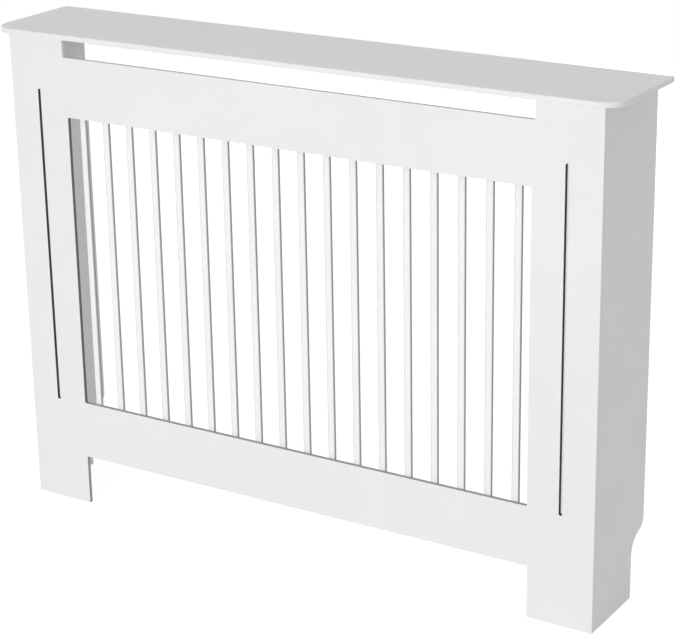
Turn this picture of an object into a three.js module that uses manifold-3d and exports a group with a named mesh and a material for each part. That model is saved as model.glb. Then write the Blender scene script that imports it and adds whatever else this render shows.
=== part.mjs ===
// Radiator cover cabinet: a white painted board box, open at the back and the bottom, that stands
// against a wall round a radiator. A front panel with a slatted window hangs between two side panels
// under a top shelf, and cam fittings pull the boards together so that the cover comes apart flat.
//
// Millimetres. The origin is on the floor under the middle of the shelf: +X to the right, +Y to the
// wall behind the cover, +Z up. The front faces -Y.

import * as THREE from 'three';
import { mergeVertices } from 'three/addons/utils/BufferGeometryUtils.js';
import Module from 'manifold-3d';

const wasm = await Module();
wasm.setup();

// ---------------------------------------------------------------------------------------------
// Driving dimensions
// ---------------------------------------------------------------------------------------------

const HEIGHT = 815;
const SHELF = { width: 1104, depth: 190, thickness: 9, cornerRadius: 36, cornerSteps: 12 };
const SIDE_OVERHANG = 25;
const FRONT_OVERHANG = 12;
const JOINT_GAP = 0.3;

const FRONT = { thickness: 7, cornerRadius: 3, cornerSteps: 3 };
const WINDOW = { margin: 111, bottom: 184, top: 677.5 };
const AIR_SLOT = { margin: 107, bottom: 775.5 };
const ARCH = { footWidth: 109, top: 86 };
const GROOVE = { inset: 55.5, bottom: 181, top: 719, width: 6, floorWidth: 3, depth: 4, endSteps: 8 };

const SIDE = { thickness: 10 };
const SKIRTING_CUT = { depth: 42, straightTop: 72, curveTop: 122, upperRadius: 18, arcSteps: 8 };

const RAIL = { height: 40, thickness: 10 };

const SLAT = { count: 18, pitch: 46.15, width: 12, thickness: 5, edgeChamfer: 1 };
const BATTEN = { height: 28, thickness: 12, setBack: 6, endReach: 24 };

const CAM = { radius: 6, face: 4.7, back: -3.3, sides: 20, cavityRadius: 4.3, cavityHalf: 2.6,
  slotHalf: 1.5, turn: 180, entryRadius: 2.5, crossWidth: 1.4, crossLength: 7, crossDepth: 1.4 };
const CAM_HOLE = { radius: 6.3, depth: 8.6, sides: 24 };
const BOLT = { headRadius: 2.1, headHalf: 1.7, neckRadius: 1.2, shankStart: 8, shankRadius: 2.8,
  reach: 24, threadRadius: 2.2, threadLength: 5, bevel: 0.5, sides: 12, shankHole: 3.1,
  threadHole: 2.5 };
const DOWEL = { radius: 2.5, length: 25, shortEnd: 5, bevel: 0.7, sides: 12, hole: 2.7 };
const HOLE_SIDES = 12;

const BRACKET = { leg: 25, thickness: 2, height: 20, bottom: 655, holeRadius: 2.4, holeInset: 15 };
const SCREW = { headRadius: 3.8, headHeight: 2.2, shankRadius: 1.7, length: 9, tipLength: 3,
  tipRadius: 0.5, rimRadius: 2.3, rimHeight: 1.3, hole: 2, sides: 12 };

const FRONT_CAM_HEIGHTS = [130, 430, 720];
const FRONT_DOWEL_HEIGHTS = [280, 580];
const SHELF_CAM_DEPTHS = [50, 125];
const SHELF_DOWEL_DEPTH = 88;

// ---------------------------------------------------------------------------------------------
// Places that follow from them
// ---------------------------------------------------------------------------------------------

const HALF_BODY = SHELF.width / 2 - SIDE_OVERHANG;
const WALL_Y = SHELF.depth / 2;
const FRONT_Y = -SHELF.depth / 2 + FRONT_OVERHANG;
const FRONT_BACK_Y = FRONT_Y + FRONT.thickness;
const SHELF_UNDERSIDE = HEIGHT - SHELF.thickness;
const BOARD_TOP = SHELF_UNDERSIDE - JOINT_GAP;
const SIDE_FRONT_Y = FRONT_BACK_Y + JOINT_GAP;
const SIDE_DEPTH = WALL_Y - SIDE_FRONT_Y;
const SIDE_MIDDLE_X = HALF_BODY - SIDE.thickness / 2;
const SIDE_INNER_X = HALF_BODY - SIDE.thickness;
const RAIL_HALF = SIDE_INNER_X - JOINT_GAP;
const RAIL_MIDDLE_Z = BOARD_TOP - RAIL.height / 2;
const RAIL_FRONT_Y = WALL_Y - RAIL.thickness;
const FIRST_SLAT_X = -SLAT.pitch * (SLAT.count - 1) / 2;
const SLAT_BOTTOM = WINDOW.bottom - BATTEN.setBack - BATTEN.height;
const SLAT_TOP = WINDOW.top + BATTEN.setBack + BATTEN.height;
const BATTEN_HALF = HALF_BODY - WINDOW.margin + BATTEN.endReach;

const X_AXIS = new THREE.Vector3(1, 0, 0);
const Y_AXIS = new THREE.Vector3(0, 1, 0);
const Z_AXIS = new THREE.Vector3(0, 0, 1);
const QUARTER_TURN = Math.PI / 2;

// ---------------------------------------------------------------------------------------------
// Finishes
// ---------------------------------------------------------------------------------------------

const BOARD_PAINT = { color: 0xececee, roughness: 0.45, metalness: 0 };
const SLAT_PAINT = { color: 0xf2f2f4, roughness: 0.45, metalness: 0 };
const CAST_ZINC = { color: 0xa9abad, roughness: 0.4, metalness: 0.9 };
const PLATED_STEEL = { color: 0xc4c2ba, roughness: 0.3, metalness: 1 };
const BEECH = { color: 0xcaa77a, roughness: 0.7, metalness: 0 };

function meshOf(name, geometry, finish) {
  const mesh = new THREE.Mesh(geometry, new THREE.MeshStandardMaterial(finish));
  mesh.name = name;
  return mesh;
}

// ---------------------------------------------------------------------------------------------
// Solids: joining and cutting closed meshes
// ---------------------------------------------------------------------------------------------

function toSolid(geometry) {
  const bare = geometry.clone();
  bare.deleteAttribute('normal');
  bare.deleteAttribute('uv');
  const merged = mergeVertices(bare);
  return new wasm.Manifold(new wasm.Mesh({
    numProp: 3,
    vertProperties: merged.attributes.position.array,
    triVerts: merged.index.array,
  }));
}

function toGeometry(solid) {
  const { vertProperties, triVerts } = solid.getMesh();
  const geometry = new THREE.BufferGeometry();
  geometry.setAttribute('position', new THREE.BufferAttribute(vertProperties, 3));
  geometry.setIndex(new THREE.BufferAttribute(triVerts, 1));
  geometry.computeVertexNormals();
  return geometry;
}

function cut(geometry, tools) {
  const solid = tools.reduce((rest, tool) => rest.subtract(toSolid(tool)), toSolid(geometry));
  return toGeometry(solid);
}

// A straight round bar that starts at a point and runs along a direction.
function bar(start, direction, length, radius, sides = HOLE_SIDES) {
  const geometry = new THREE.CylinderGeometry(radius, radius, length, sides);
  geometry.translate(0, length / 2, 0);
  geometry.applyQuaternion(new THREE.Quaternion().setFromUnitVectors(Y_AXIS, direction));
  return geometry.translate(start.x, start.y, start.z);
}

// A round piece turned about the X axis, from a list of [distance along X, radius].
function turned(profile, sides) {
  const first = profile[0];
  const last = profile[profile.length - 1];
  const closed = [[first[0], 0], ...profile, [last[0], 0]];
  const points = closed.map(([along, radius]) => new THREE.Vector2(radius, along));
  return new THREE.LatheGeometry(points, sides).rotateZ(-QUARTER_TURN);
}

function extruded(shape, depth, curveSegments = FRONT.cornerSteps) {
  return new THREE.ExtrudeGeometry(shape, { depth, bevelEnabled: false, curveSegments });
}

// An upright rectangular hole with small cutter-round corners.
function roundedWindow(left, right, bottom, top, radius) {
  const path = new THREE.Path();
  path.absarc(right - radius, bottom + radius, radius, -QUARTER_TURN, 0);
  path.absarc(right - radius, top - radius, radius, 0, QUARTER_TURN);
  path.absarc(left + radius, top - radius, radius, QUARTER_TURN, Math.PI);
  path.absarc(left + radius, bottom + radius, radius, Math.PI, 3 * QUARTER_TURN);
  path.closePath();
  return path;
}

// ---------------------------------------------------------------------------------------------
// Top shelf: square at the wall, with two round corners in front
// ---------------------------------------------------------------------------------------------

function makeTopShelf() {
  const half = SHELF.width / 2;
  const radius = SHELF.cornerRadius;
  const front = -SHELF.depth / 2;
  const outline = new THREE.Shape();
  outline.moveTo(half, WALL_Y);
  outline.lineTo(-half, WALL_Y);
  outline.absarc(-half + radius, front + radius, radius, Math.PI, 3 * QUARTER_TURN);
  outline.absarc(half - radius, front + radius, radius, -QUARTER_TURN, 0);
  outline.closePath();
  const board = extruded(outline, SHELF.thickness, SHELF.cornerSteps);

  const threadDepth = BOLT.threadLength + JOINT_GAP;
  const holes = [];
  for (const side of [-1, 1]) {
    const overSide = (depth) => new THREE.Vector3(side * SIDE_MIDDLE_X, SIDE_FRONT_Y + depth, -1);
    for (const depth of SHELF_CAM_DEPTHS) {
      holes.push(bar(overSide(depth), Z_AXIS, threadDepth + 1, BOLT.threadHole));
    }
    const dowelDepth = DOWEL.shortEnd + JOINT_GAP;
    holes.push(bar(overSide(SHELF_DOWEL_DEPTH), Z_AXIS, dowelDepth + 1, DOWEL.hole));
  }
  const shelf = meshOf('top_shelf', cut(board, holes), BOARD_PAINT);
  shelf.position.z = SHELF_UNDERSIDE;
  return shelf;
}

// ---------------------------------------------------------------------------------------------
// Front panel, drawn upright: x across, y up, and z from its back face to its front face
// ---------------------------------------------------------------------------------------------

function frontOutline() {
  const archX = HALF_BODY - ARCH.footWidth;
  const slotX = HALF_BODY - AIR_SLOT.margin;
  const radius = FRONT.cornerRadius;
  const outline = new THREE.Shape();
  outline.moveTo(-HALF_BODY, 0);
  outline.lineTo(-archX, 0);
  outline.absarc(-archX + radius, ARCH.top - radius, radius, Math.PI, QUARTER_TURN, true);
  outline.absarc(archX - radius, ARCH.top - radius, radius, QUARTER_TURN, 0, true);
  outline.lineTo(archX, 0);
  outline.lineTo(HALF_BODY, 0);
  outline.lineTo(HALF_BODY, BOARD_TOP);
  outline.lineTo(slotX, BOARD_TOP);
  outline.absarc(slotX - radius, AIR_SLOT.bottom + radius, radius, 0, -QUARTER_TURN, true);
  outline.absarc(-slotX + radius, AIR_SLOT.bottom + radius, radius, -QUARTER_TURN, -Math.PI, true);
  outline.lineTo(-slotX, BOARD_TOP);
  outline.lineTo(-HALF_BODY, BOARD_TOP);
  outline.closePath();
  const windowX = HALF_BODY - WINDOW.margin;
  outline.holes.push(roundedWindow(-windowX, windowX, WINDOW.bottom, WINDOW.top, radius));
  return outline;
}

// The groove has round ends and slanted walls: it narrows from the front face to its floor.
function makeGrooveCutter(x) {
  const radius = GROOVE.width / 2;
  const taper = (GROOVE.width - GROOVE.floorWidth) / 2;
  const shape = new THREE.Shape();
  shape.absarc(x, GROOVE.top - radius, radius, 0, Math.PI);
  shape.absarc(x, GROOVE.bottom + radius, radius, Math.PI, 2 * Math.PI);
  shape.closePath();
  return new THREE.ExtrudeGeometry(shape, {
    depth: 1,
    curveSegments: GROOVE.endSteps,
    bevelThickness: GROOVE.depth,
    bevelSize: taper,
    bevelOffset: -taper,
    bevelSegments: 1,
  }).translate(0, 0, FRONT.thickness);
}

function makeFrontPanel() {
  const tools = [];
  for (const side of [-1, 1]) {
    const behind = (height) => new THREE.Vector3(side * SIDE_MIDDLE_X, height, -1);
    tools.push(makeGrooveCutter(side * (HALF_BODY - GROOVE.inset)));
    for (const height of FRONT_CAM_HEIGHTS) {
      tools.push(bar(behind(height), Z_AXIS, BOLT.threadLength + JOINT_GAP + 1, BOLT.threadHole));
    }
    for (const height of FRONT_DOWEL_HEIGHTS) {
      tools.push(bar(behind(height), Z_AXIS, DOWEL.shortEnd + JOINT_GAP + 1, DOWEL.hole));
    }
  }
  const panel = cut(extruded(frontOutline(), FRONT.thickness), tools);
  const mesh = meshOf('front_panel', panel, BOARD_PAINT);
  mesh.rotation.x = QUARTER_TURN;
  mesh.position.y = FRONT_BACK_Y;
  return mesh;
}

// ---------------------------------------------------------------------------------------------
// Side panels, drawn in profile: x from the front edge to the wall, y up, z across the thickness
// ---------------------------------------------------------------------------------------------

// The lower back corner is cut away for the skirting board. Two tangent arcs lead from the wall
// edge into the cut, so their turn follows from the cut's depth and the height of the curve.
function sideOutline() {
  const rise = SKIRTING_CUT.curveTop - SKIRTING_CUT.straightTop;
  const sweep = 2 * Math.atan(SKIRTING_CUT.depth / rise);
  const lowerRadius = rise / Math.sin(sweep) - SKIRTING_CUT.upperRadius;
  const cutX = SIDE_DEPTH - SKIRTING_CUT.depth;
  const outline = new THREE.Shape();
  outline.moveTo(0, 0);
  outline.lineTo(cutX, 0);
  outline.absarc(cutX + lowerRadius, SKIRTING_CUT.straightTop, lowerRadius,
    Math.PI, Math.PI - sweep, true);
  outline.absarc(SIDE_DEPTH - SKIRTING_CUT.upperRadius, SKIRTING_CUT.curveTop,
    SKIRTING_CUT.upperRadius, -sweep, 0);
  outline.lineTo(SIDE_DEPTH, BOARD_TOP);
  outline.lineTo(0, BOARD_TOP);
  outline.closePath();
  return outline;
}

function makeSidePanel(name, side) {
  const middle = SIDE.thickness / 2;
  const innerFace = side < 0 ? SIDE.thickness : 0;
  const intoBoard = Z_AXIS.clone().multiplyScalar(side);
  const at = (x, y, z = innerFace) => new THREE.Vector3(x, y, z);
  const outside = (point) => point.clone().addScaledVector(intoBoard, -1);
  const camHole = (x, y) =>
    bar(outside(at(x, y)), intoBoard, CAM_HOLE.depth + 1, CAM_HOLE.radius, CAM_HOLE.sides);

  const tools = [];
  for (const height of FRONT_CAM_HEIGHTS) {
    tools.push(camHole(BOLT.reach, height));
    tools.push(bar(at(-1, height, middle), X_AXIS, BOLT.reach, BOLT.shankHole));
  }
  const longEnd = DOWEL.length - DOWEL.shortEnd + JOINT_GAP;
  for (const height of FRONT_DOWEL_HEIGHTS) {
    tools.push(bar(at(-1, height, middle), X_AXIS, longEnd + 1, DOWEL.hole));
  }
  const shelfDowel = at(SHELF_DOWEL_DEPTH, BOARD_TOP - longEnd, middle);
  tools.push(bar(shelfDowel, Y_AXIS, longEnd + 1, DOWEL.hole));
  for (const depth of SHELF_CAM_DEPTHS) {
    const camHeight = BOARD_TOP - BOLT.reach;
    tools.push(camHole(depth, camHeight));
    tools.push(bar(at(depth, camHeight, middle), Y_AXIS, BOLT.reach + 1, BOLT.shankHole));
  }
  const railBolt = at(SIDE_DEPTH - RAIL.thickness / 2, RAIL_MIDDLE_Z);
  tools.push(bar(outside(railBolt), intoBoard, BOLT.threadLength + JOINT_GAP + 1, BOLT.threadHole));
  const bracketScrew = at(SIDE_DEPTH - BRACKET.holeInset, BRACKET.bottom + BRACKET.height / 2);
  const screwDepth = SCREW.length - BRACKET.thickness;
  tools.push(bar(outside(bracketScrew), intoBoard, screwDepth + 1, SCREW.hole));

  const board = extruded(sideOutline(), SIDE.thickness, SKIRTING_CUT.arcSteps);
  const mesh = meshOf(name, cut(board, tools), BOARD_PAINT);
  mesh.rotation.set(QUARTER_TURN, QUARTER_TURN, 0);
  mesh.position.set(side < 0 ? -HALF_BODY : SIDE_INNER_X, SIDE_FRONT_Y, 0);
  return mesh;
}

// ---------------------------------------------------------------------------------------------
// Back rail under the shelf: it keeps the two sides apart at the wall
// ---------------------------------------------------------------------------------------------

function makeBackRail() {
  const board = new THREE.BoxGeometry(2 * RAIL_HALF, RAIL.thickness, RAIL.height);
  const tools = [];
  for (const side of [-1, 1]) {
    const towardsEnd = X_AXIS.clone().multiplyScalar(side);
    const camX = side * (RAIL_HALF - BOLT.reach);
    const mouth = new THREE.Vector3(camX, -RAIL.thickness / 2 - 1, 0);
    tools.push(bar(mouth, Y_AXIS, CAM_HOLE.depth + 1, CAM_HOLE.radius, CAM_HOLE.sides));
    tools.push(bar(new THREE.Vector3(camX, 0, 0), towardsEnd, BOLT.reach + 1, BOLT.shankHole));
  }
  const rail = meshOf('back_rail', cut(board, tools), BOARD_PAINT);
  rail.position.set(0, RAIL_FRONT_Y + RAIL.thickness / 2, RAIL_MIDDLE_Z);
  return rail;
}

// ---------------------------------------------------------------------------------------------
// Window grille: upright slats held in notches between two battens and the front panel
// ---------------------------------------------------------------------------------------------

function slatX(index) {
  return FIRST_SLAT_X + index * SLAT.pitch;
}

function makeSlat(index) {
  const across = SLAT.width / 2;
  const chamfer = SLAT.edgeChamfer;
  const section = new THREE.Shape();
  section.moveTo(-across + chamfer, 0);
  section.lineTo(across - chamfer, 0);
  section.lineTo(across, chamfer);
  section.lineTo(across, SLAT.thickness - chamfer);
  section.lineTo(across - chamfer, SLAT.thickness);
  section.lineTo(-across + chamfer, SLAT.thickness);
  section.lineTo(-across, SLAT.thickness - chamfer);
  section.lineTo(-across, chamfer);
  section.closePath();
  const name = `slat_${String(index + 1).padStart(2, '0')}`;
  const slat = meshOf(name, extruded(section, SLAT_TOP - SLAT_BOTTOM), SLAT_PAINT);
  slat.position.set(slatX(index), FRONT_BACK_Y + JOINT_GAP, SLAT_BOTTOM);
  return slat;
}

function makeBatten(name, bottom) {
  const notchHalf = SLAT.width / 2 + JOINT_GAP;
  const notchDepth = SLAT.thickness + JOINT_GAP;
  const plan = new THREE.Shape();
  plan.moveTo(-BATTEN_HALF, 0);
  for (let index = 0; index < SLAT.count; index += 1) {
    const x = slatX(index);
    plan.lineTo(x - notchHalf, 0);
    plan.lineTo(x - notchHalf, notchDepth);
    plan.lineTo(x + notchHalf, notchDepth);
    plan.lineTo(x + notchHalf, 0);
  }
  plan.lineTo(BATTEN_HALF, 0);
  plan.lineTo(BATTEN_HALF, BATTEN.thickness);
  plan.lineTo(-BATTEN_HALF, BATTEN.thickness);
  plan.closePath();
  const batten = meshOf(name, extruded(plan, BATTEN.height), BOARD_PAINT);
  batten.position.set(0, FRONT_BACK_Y + JOINT_GAP, bottom);
  return batten;
}

function makeGrille() {
  const grille = new THREE.Group();
  for (let index = 0; index < SLAT.count; index += 1) {
    grille.add(makeSlat(index));
  }
  grille.add(makeBatten('slat_batten_bottom', SLAT_BOTTOM));
  grille.add(makeBatten('slat_batten_top', SLAT_TOP - BATTEN.height));
  return grille;
}

// ---------------------------------------------------------------------------------------------
// Cam fittings. Each is a bolt in one board and a turning cam disc in the other. They are drawn
// with the disc's axis on Z, its screwdriver face at +Z, and the bolt running out along +X.
// ---------------------------------------------------------------------------------------------

// The slot round the disc lets the bolt's neck through while the disc turns from locked to open,
// and the round entry hole at its end lets the bolt's head out.
function makeCamGeometry() {
  const turn = THREE.MathUtils.degToRad(CAM.turn);
  const outer = CAM.radius + 1;
  const inner = CAM.cavityRadius - 1;
  const disc = bar(new THREE.Vector3(0, 0, CAM.back), Z_AXIS, CAM.face - CAM.back, CAM.radius, CAM.sides);
  const cavity = bar(new THREE.Vector3(0, 0, -CAM.cavityHalf), Z_AXIS, 2 * CAM.cavityHalf,
    CAM.cavityRadius);

  const ring = new THREE.Shape();
  ring.absarc(0, 0, outer, -turn, 0);
  ring.absarc(0, 0, inner, 0, -turn, true);
  ring.closePath();
  const slot = extruded(ring, 2 * CAM.slotHalf, CAM.sides).translate(0, 0, -CAM.slotHalf);
  const centre = new THREE.Vector3();
  const slotEnd = bar(centre, X_AXIS, outer, CAM.slotHalf);
  const entry = bar(centre, X_AXIS.clone().negate(), outer, CAM.entryRadius);

  const crossPlate = (width, height) =>
    new THREE.BoxGeometry(width, height, 2 * CAM.crossDepth).translate(0, 0, CAM.face);
  return cut(disc, [cavity, slot, slotEnd, entry, crossPlate(CAM.crossLength, CAM.crossWidth),
    crossPlate(CAM.crossWidth, CAM.crossLength)]);
}

function makeBoltGeometry() {
  const threadEnd = BOLT.reach + BOLT.threadLength;
  return turned([
    [-BOLT.headHalf, BOLT.headRadius - BOLT.bevel],
    [-BOLT.headHalf + BOLT.bevel, BOLT.headRadius],
    [BOLT.headHalf - BOLT.bevel, BOLT.headRadius],
    [BOLT.headHalf, BOLT.neckRadius],
    [BOLT.shankStart, BOLT.neckRadius],
    [BOLT.shankStart + BOLT.bevel, BOLT.shankRadius],
    [BOLT.reach, BOLT.shankRadius],
    [BOLT.reach, BOLT.threadRadius],
    [threadEnd - BOLT.bevel, BOLT.threadRadius],
    [threadEnd, BOLT.threadRadius - BOLT.bevel],
  ], BOLT.sides);
}

const camGeometry = makeCamGeometry();
const boltGeometry = makeBoltGeometry();

function makeFitting(label, position, boltDirection, faceDirection) {
  const across = new THREE.Vector3().crossVectors(faceDirection, boltDirection);
  const axes = new THREE.Matrix4().makeBasis(boltDirection, across, faceDirection);
  const fitting = new THREE.Group();
  fitting.position.copy(position);
  fitting.quaternion.setFromRotationMatrix(axes);
  fitting.add(meshOf(`cam_disc_${label}`, camGeometry, CAST_ZINC));
  fitting.add(meshOf(`cam_bolt_${label}`, boltGeometry, PLATED_STEEL));
  return fitting;
}

function makeFittings() {
  const fittings = new THREE.Group();
  const forward = Y_AXIS.clone().negate();
  const frontLevels = ['low', 'mid', 'high'];
  const shelfPlaces = ['front', 'rear'];
  for (const [sideName, side] of [['left', -1], ['right', 1]]) {
    const inwards = X_AXIS.clone().multiplyScalar(-side);
    const outwards = X_AXIS.clone().multiplyScalar(side);
    const sideX = side * SIDE_MIDDLE_X;
    FRONT_CAM_HEIGHTS.forEach((height, index) => {
      const place = new THREE.Vector3(sideX, SIDE_FRONT_Y + BOLT.reach, height);
      fittings.add(makeFitting(`front_${frontLevels[index]}_${sideName}`, place, forward, inwards));
    });
    SHELF_CAM_DEPTHS.forEach((depth, index) => {
      const place = new THREE.Vector3(sideX, SIDE_FRONT_Y + depth, BOARD_TOP - BOLT.reach);
      fittings.add(makeFitting(`shelf_${shelfPlaces[index]}_${sideName}`, place, Z_AXIS, inwards));
    });
    const railPlace = new THREE.Vector3(side * (RAIL_HALF - BOLT.reach),
      RAIL_FRONT_Y + RAIL.thickness / 2, RAIL_MIDDLE_Z);
    fittings.add(makeFitting(`rail_${sideName}`, railPlace, outwards, forward));
  }
  return fittings;
}

// ---------------------------------------------------------------------------------------------
// Dowels that line the boards up
// ---------------------------------------------------------------------------------------------

const dowelGeometry = turned([
  [-DOWEL.shortEnd, DOWEL.radius - DOWEL.bevel],
  [-DOWEL.shortEnd + DOWEL.bevel, DOWEL.radius],
  [DOWEL.length - DOWEL.shortEnd - DOWEL.bevel, DOWEL.radius],
  [DOWEL.length - DOWEL.shortEnd, DOWEL.radius - DOWEL.bevel],
], DOWEL.sides);

function makeDowel(name, position, direction) {
  const dowel = meshOf(name, dowelGeometry, BEECH);
  dowel.position.copy(position);
  dowel.quaternion.setFromUnitVectors(X_AXIS, direction);
  return dowel;
}

function makeDowels() {
  const dowels = new THREE.Group();
  const down = Z_AXIS.clone().negate();
  const levels = ['low', 'high'];
  for (const [sideName, side] of [['left', -1], ['right', 1]]) {
    FRONT_DOWEL_HEIGHTS.forEach((height, index) => {
      const place = new THREE.Vector3(side * SIDE_MIDDLE_X, FRONT_BACK_Y, height);
      dowels.add(makeDowel(`dowel_front_${levels[index]}_${sideName}`, place, Y_AXIS));
    });
    const shelfPlace = new THREE.Vector3(side * SIDE_MIDDLE_X, SIDE_FRONT_Y + SHELF_DOWEL_DEPTH,
      SHELF_UNDERSIDE);
    dowels.add(makeDowel(`dowel_shelf_${sideName}`, shelfPlace, down));
  }
  return dowels;
}

// ---------------------------------------------------------------------------------------------
// Wall brackets: an angle on each side panel, with one hole for its screw and one for the wall
// ---------------------------------------------------------------------------------------------

function makeBracket(sideName, side) {
  const inwards = X_AXIS.clone().multiplyScalar(-side);
  const bracket = new THREE.Group();
  bracket.position.set(side * (SIDE_INNER_X - JOINT_GAP), WALL_Y, BRACKET.bottom);

  const along = (distance) => -side * distance;
  const plan = new THREE.Shape();
  plan.moveTo(0, 0);
  plan.lineTo(along(BRACKET.leg), 0);
  plan.lineTo(along(BRACKET.leg), -BRACKET.thickness);
  plan.lineTo(along(BRACKET.thickness), -BRACKET.thickness);
  plan.lineTo(along(BRACKET.thickness), -BRACKET.leg);
  plan.lineTo(0, -BRACKET.leg);
  plan.closePath();
  const middle = BRACKET.height / 2;
  const sideHole = new THREE.Vector3(side, -BRACKET.holeInset, middle);
  const wallHole = new THREE.Vector3(along(BRACKET.holeInset), -BRACKET.thickness - 1, middle);
  const reach = BRACKET.thickness + 2;
  const angle = cut(extruded(plan, BRACKET.height), [
    bar(sideHole, inwards, reach, BRACKET.holeRadius),
    bar(wallHole, Y_AXIS, reach, BRACKET.holeRadius),
  ]);
  bracket.add(meshOf(`wall_bracket_${sideName}`, angle, PLATED_STEEL));

  const tip = SCREW.headHeight + SCREW.length;
  const screw = meshOf(`bracket_screw_${sideName}`, turned([
    [0, SCREW.rimRadius],
    [SCREW.rimHeight, SCREW.headRadius],
    [SCREW.headHeight, SCREW.headRadius],
    [SCREW.headHeight, SCREW.shankRadius],
    [tip - SCREW.tipLength, SCREW.shankRadius],
    [tip, SCREW.tipRadius],
  ], SCREW.sides), PLATED_STEEL);
  const headStart = BRACKET.thickness + JOINT_GAP + SCREW.headHeight;
  screw.position.set(along(headStart), -BRACKET.holeInset, middle);
  screw.quaternion.setFromUnitVectors(X_AXIS, inwards.clone().negate());
  bracket.add(screw);
  return bracket;
}

// ---------------------------------------------------------------------------------------------
// The whole cover
// ---------------------------------------------------------------------------------------------

const group = new THREE.Group();
group.add(makeTopShelf());
group.add(makeFrontPanel());
group.add(makeSidePanel('side_panel_left', -1));
group.add(makeSidePanel('side_panel_right', 1));
group.add(makeBackRail());
group.add(makeGrille());
group.add(makeFittings());
group.add(makeDowels());
group.add(makeBracket('left', -1));
group.add(makeBracket('right', 1));

export default group;
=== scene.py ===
"""Radiator cover cabinet: its finely modelled pieces, their finishes, the studio and the camera.

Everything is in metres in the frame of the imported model. The origin is on the floor under the
middle of the shelf, +X runs to the right, +Y to the wall and +Z up, and the front faces -Y.
"""

import logging
import math
from collections.abc import Callable, Iterator, Sequence
from contextlib import contextmanager
from dataclasses import dataclass
from enum import Enum

import bmesh
import bpy
from mathutils import Matrix, Vector


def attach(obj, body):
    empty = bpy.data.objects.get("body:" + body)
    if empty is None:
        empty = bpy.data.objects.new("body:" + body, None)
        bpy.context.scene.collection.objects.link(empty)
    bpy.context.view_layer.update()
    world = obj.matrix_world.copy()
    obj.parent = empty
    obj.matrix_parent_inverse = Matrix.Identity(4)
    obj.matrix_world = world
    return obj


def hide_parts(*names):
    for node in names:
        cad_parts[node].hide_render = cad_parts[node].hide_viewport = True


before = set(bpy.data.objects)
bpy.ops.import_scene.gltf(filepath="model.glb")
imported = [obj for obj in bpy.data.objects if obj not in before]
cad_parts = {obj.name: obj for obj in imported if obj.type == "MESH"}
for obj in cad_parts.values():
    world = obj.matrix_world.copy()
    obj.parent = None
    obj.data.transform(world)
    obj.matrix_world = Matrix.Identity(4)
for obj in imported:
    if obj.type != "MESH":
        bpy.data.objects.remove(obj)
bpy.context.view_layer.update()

LOG = logging.getLogger("radiator_cover")

Piece = bpy.types.Object
Material = bpy.types.Material
Socket = bpy.types.NodeSocket
Tree = bpy.types.NodeTree
Pair = tuple[float, float]
Triple = tuple[float, float, float]
Test = Callable[[Vector, Vector], bool]

MM = 0.001
GAP = 0.3 * MM
WELD = 0.001 * MM
COVER = "cover"
SIDES = (("left", -1), ("right", 1))

FRONT_FACE_Y = -83 * MM
FRONT_THICKNESS = 7 * MM
FRONT_BACK_Y = FRONT_FACE_Y + FRONT_THICKNESS
SIDE_FRONT_Y = FRONT_BACK_Y + GAP
WALL_Y = 95 * MM
HALF_BODY = 527 * MM
SIDE_THICKNESS = 10 * MM
SIDE_MIDDLE_X = HALF_BODY - SIDE_THICKNESS / 2
SIDE_INNER_X = HALF_BODY - SIDE_THICKNESS
SHELF_UNDERSIDE = 806 * MM
BOARD_TOP = SHELF_UNDERSIDE - GAP

WINDOW_HALF = 416 * MM
WINDOW_BOTTOM = 184 * MM
WINDOW_TOP = 677.5 * MM

BOLT_REACH = 24 * MM
BOLT_THREAD = 5 * MM
CAM_HOLE_RADIUS = 6.3 * MM
CAM_HOLE_DEPTH = 8.6 * MM
CAM_SIDES = 48
THREAD_HOLE_RADIUS = 2.5 * MM
SHANK_HOLE_RADIUS = 3.1 * MM
DOWEL_HOLE_RADIUS = 2.7 * MM
DOWEL_SHORT = 5 * MM
DOWEL_LENGTH = 25 * MM

FRONT_CAM_HEIGHTS = (("low", 130 * MM), ("mid", 430 * MM), ("high", 720 * MM))
FRONT_DOWEL_HEIGHTS = (("low", 280 * MM), ("high", 580 * MM))
SHELF_CAM_DEPTHS = (("front", 50 * MM), ("rear", 125 * MM))
SHELF_DOWEL_DEPTH = 88 * MM

BRACKET_MIDDLE_Z = 665 * MM
BRACKET_HOLE_INSET = 15 * MM
RAIL_MIDDLE_Z = BOARD_TOP - 20 * MM
RAIL_MIDDLE_Y = WALL_Y - 5 * MM

X_AXIS, Y_AXIS, Z_AXIS = Vector((1, 0, 0)), Vector((0, 1, 0)), Vector((0, 0, 1))
MIRRORED = Matrix.Scale(-1, 4, X_AXIS)
WHITE = (1.0, 1.0, 1.0, 1.0)
NOISE_LOW, NOISE_HIGH = 0.3, 0.7


class Slot(Enum):
    """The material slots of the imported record."""

    BOARD = "board_paint"
    SLAT = "slat_paint"
    ZINC = "cast_zinc"
    STEEL = "plated_steel"
    BEECH = "beech"


class Pick(Enum):
    """What the edit mode of a piece selects."""

    CORNER = "VERT"
    EDGE = "EDGE"
    FACE = "FACE"


# The workshop: one thin layer over Blender's own modelling tools


def put_down_everything() -> None:
    """Leave object mode with nothing selected."""
    if bpy.context.object is not None and bpy.context.object.mode != "OBJECT":
        bpy.ops.object.mode_set(mode="OBJECT")
    bpy.ops.object.select_all(action="DESELECT")


def take(piece: Piece) -> None:
    """Select one piece alone and make it the active one.

    Args:
        piece: The piece to work on.
    """
    put_down_everything()
    piece.select_set(True)
    bpy.context.view_layer.objects.active = piece


def settle(piece: Piece, name: str) -> Piece:
    """Name a new piece, and move its place, turn and size into its mesh.

    Args:
        piece: The piece, whose object ends at the origin, unturned and unscaled.
        name: The name of the piece and of its mesh.

    Returns:
        The same piece.
    """
    piece.name = piece.data.name = name
    take(piece)
    bpy.ops.object.transform_apply(location=True, rotation=True, scale=True)
    return piece


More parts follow.
